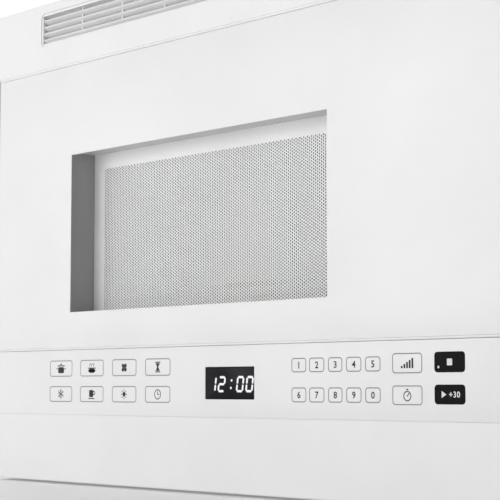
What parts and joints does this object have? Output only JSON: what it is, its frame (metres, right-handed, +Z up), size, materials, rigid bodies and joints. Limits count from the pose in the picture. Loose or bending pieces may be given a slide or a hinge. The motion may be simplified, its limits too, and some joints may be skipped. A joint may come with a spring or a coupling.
{
  "type": "over the range microwave",
  "caption": "White over-range microwave oven with hidden-grip glass door, touch control strip, turntable, vent blower and grease filters.",
  "frame": {"origin": "on the wall, on the centre line, level with the lower edge of the case", "axes": "+X to the right seen from the front, +Y into the wall, +Z up; the door faces -Y"},
  "size_m": [0.606, 0.4, 0.415],
  "materials": {
    "white_paint": "satin white powder coat",
    "white_moulding": "satin white ABS",
    "white_film": "printed polyester film, satin",
    "galvanised": "bright zinc",
    "enamel": "light grey enamel",
    "clear_glass": "clear, gloss",
    "screen_steel": "white coated perforated steel",
    "dark_window": "smoked, gloss",
    "nylon": "natural nylon",
    "black_plastic": "matt",
    "board": "green solder resist",
    "electrical_steel": "laminated",
    "aluminium_can": "bright",
    "filter_mesh": "expanded mesh",
    "charcoal": "open",
    "lens": "clear, ribbed",
    "mica": "mica sheet",
    "spring_steel": "drawn wire",
    "zinc_screw": "bright zinc"
  },
  "bodies": {
    "cabinet": {"wall_plate": "galvanised", "back_panel": "galvanised", "outer_case": "white_paint", "base_pan": "white_paint", "bay_floor": "galvanised", "cavity": "enamel", "front_plate": "enamel", "front_bezel": "white_moulding", "vent_grille": "white_moulding", "charcoal_filter": "charcoal", "control_panel": "white_moulding", "keypad_overlay": "white_film", "keypad_circuit": "nylon", "display_window": "dark_window", "display_module": "black_plastic", "control_board": "board", "magnetron": "aluminium_can", "waveguide": "galvanised", "waveguide_cover": "mica", "hv_transformer": "electrical_steel", "hv_capacitor": "aluminium_can", "cooling_fan_shroud": "galvanised", "cooling_fan_motor": "electrical_steel", "cavity_lamp": "nylon", "turntable_motor": "galvanised", "vent_blower_housing": "galvanised", "vent_motor": "electrical_steel", "exhaust_collar": "galvanised", "cooktop_lamps": "galvanised", "lamp_lenses": "lens", "cord_gland": "black_plastic", "bolt_brackets": "galvanised", "interlock_bracket": "nylon", "interlock_switches": "black_plastic", "upper_hinge": "galvanised", "lower_hinge": "galvanised", "cabinet_screws": "zinc_screw"},
    "door": {"door_glass": "clear_glass", "door_frame": "white_moulding", "door_screen": "screen_steel", "door_inner_panel": "screen_steel", "inner_window": "clear_glass", "door_rear_cover": "white_moulding", "door_grip": "white_moulding", "hinge_bushes": "nylon", "door_screws": "zinc_screw", "latch_spring": "spring_steel"},
    "latch": {"door_latch": "nylon"},
    "turntable": {"glass_tray": "clear_glass", "tray_coupler": "nylon"},
    "roller_ring": {"roller_ring": "nylon"},
    "roller_1": {"roller_1": "nylon"},
    "roller_2": {"roller_2": "nylon"},
    "roller_3": {"roller_3": "nylon"},
    "vent_rotor": {"vent_wheels": "black_plastic"},
    "cooling_rotor": {"cooling_fan": "black_plastic"},
    "damper": {"damper_flap": "galvanised"},
    "filter_left": {"grease_filter_left": "filter_mesh"},
    "filter_right": {"grease_filter_right": "filter_mesh"}
  },
  "joints": [
    {"name": "door_swing", "type": "hinge", "parent": "cabinet", "child": "door", "pos_m": [-0.2845, -0.3935, 0.2233], "axis": [0, 0, -1], "range_deg": [0, 105]},
    {"name": "latch_slide", "type": "slide", "parent": "door", "child": "latch", "axis": [0, 0, 1], "range_m": [0, 0.005], "stiffness_N_per_m": 250, "springref_m": -0.003, "deforming": ["latch_spring"]},
    {"name": "turntable_spin", "type": "hinge", "parent": "cabinet", "child": "turntable", "pos_m": [-0.047, -0.1955, 0.1451], "axis": [0, 0, 1], "continuous": true},
    {"name": "ring_spin", "type": "hinge", "parent": "cabinet", "child": "roller_ring", "pos_m": [-0.047, -0.1955, 0.1358], "axis": [0, 0, 1], "continuous": true},
    {"name": "roller_1_spin", "type": "hinge", "parent": "roller_ring", "child": "roller_1", "pos_m": [0.043, -0.1955, 0.1358], "axis": [1, 0, 0], "continuous": true},
    {"name": "roller_2_spin", "type": "hinge", "parent": "roller_ring", "child": "roller_2", "pos_m": [-0.092, -0.11756, 0.1358], "axis": [-0.5, 0.866, 0], "continuous": true},
    {"name": "roller_3_spin", "type": "hinge", "parent": "roller_ring", "child": "roller_3", "pos_m": [-0.092, -0.27344, 0.1358], "axis": [-0.5, -0.866, 0], "continuous": true},
    {"name": "vent_rotor_spin", "type": "hinge", "parent": "cabinet", "child": "vent_rotor", "pos_m": [0, -0.062, 0.35855], "axis": [1, 0, 0], "continuous": true},
    {"name": "cooling_fan_spin", "type": "hinge", "parent": "cabinet", "child": "cooling_rotor", "pos_m": [0.2205, -0.061, 0.2205], "axis": [0, 1, 0], "continuous": true},
    {"name": "damper_swing", "type": "hinge", "parent": "cabinet", "child": "damper", "pos_m": [0, -0.0255, 0.407], "axis": [-1, 0, 0], "range_deg": [0, 80]},
    {"name": "filter_left_slide", "type": "slide", "parent": "cabinet", "child": "filter_left", "axis": [0, 0, -1], "range_m": [0, 0.08]},
    {"name": "filter_right_slide", "type": "slide", "parent": "cabinet", "child": "filter_right", "axis": [0, 0, -1], "range_m": [0, 0.08]}
  ],
  "couplings": [
    {"joint": "ring_spin", "follows": "turntable_spin", "ratio": 0.5},
    {"joint": "roller_1_spin", "follows": "turntable_spin", "ratio": -5},
    {"joint": "roller_2_spin", "follows": "turntable_spin", "ratio": -5},
    {"joint": "roller_3_spin", "follows": "turntable_spin", "ratio": -5}
  ]
}
